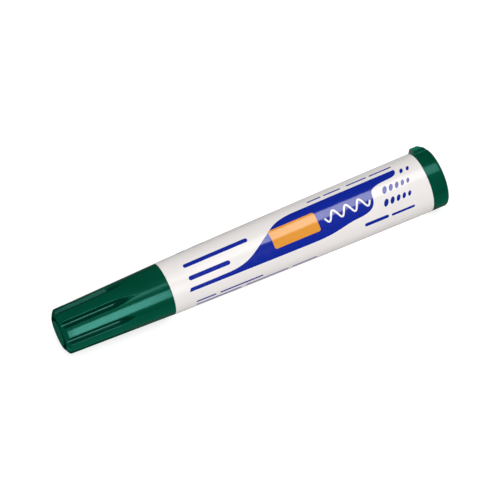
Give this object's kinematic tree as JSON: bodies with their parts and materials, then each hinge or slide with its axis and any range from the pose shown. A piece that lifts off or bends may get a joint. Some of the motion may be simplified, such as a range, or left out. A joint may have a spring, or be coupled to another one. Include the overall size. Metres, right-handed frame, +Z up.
{
  "type": "whiteboard marker",
  "caption": "Chunky round dry-wipe marker with a fluted, vented green cap that pulls off a bullet nib, a tapered white printed barrel and a green end plug with an anti-roll lug.",
  "frame": {"origin": "on the surface that the marker lies on, under the middle of its length", "axes": "+X along the axis from the capped end to the end plug, +Z up, print facing up and towards -Y"},
  "size_m": [0.137, 0.0206, 0.0205],
  "materials": {
    "cap_plastic": "satin gloss moulded polypropylene",
    "seal_plastic": "semi-matt moulded polyethylene",
    "barrel_plastic": "satin gloss white polypropylene with printed bands",
    "holder_plastic": "semi-matt moulded polypropylene",
    "nib_fibre": "bonded fibre, wet with green ink",
    "reservoir_fibre": "bundled polyester fibre, wet with green ink",
    "wrap_film": "thin clear film",
    "plug_plastic": "satin gloss moulded polypropylene"
  },
  "bodies": {
    "marker_body": {"barrel": "barrel_plastic", "nib_holder": "holder_plastic", "nib": "nib_fibre", "ink_reservoir": "reservoir_fibre", "reservoir_wrap": "wrap_film", "end_plug": "plug_plastic"},
    "cap": {"cap_shell": "cap_plastic", "cap_inner_seal": "seal_plastic"}
  },
  "joints": [
    {"name": "cap_pull", "type": "slide", "parent": "marker_body", "child": "cap", "axis": [-1, 0, 0], "range_m": [0, 0.045]}
  ]
}
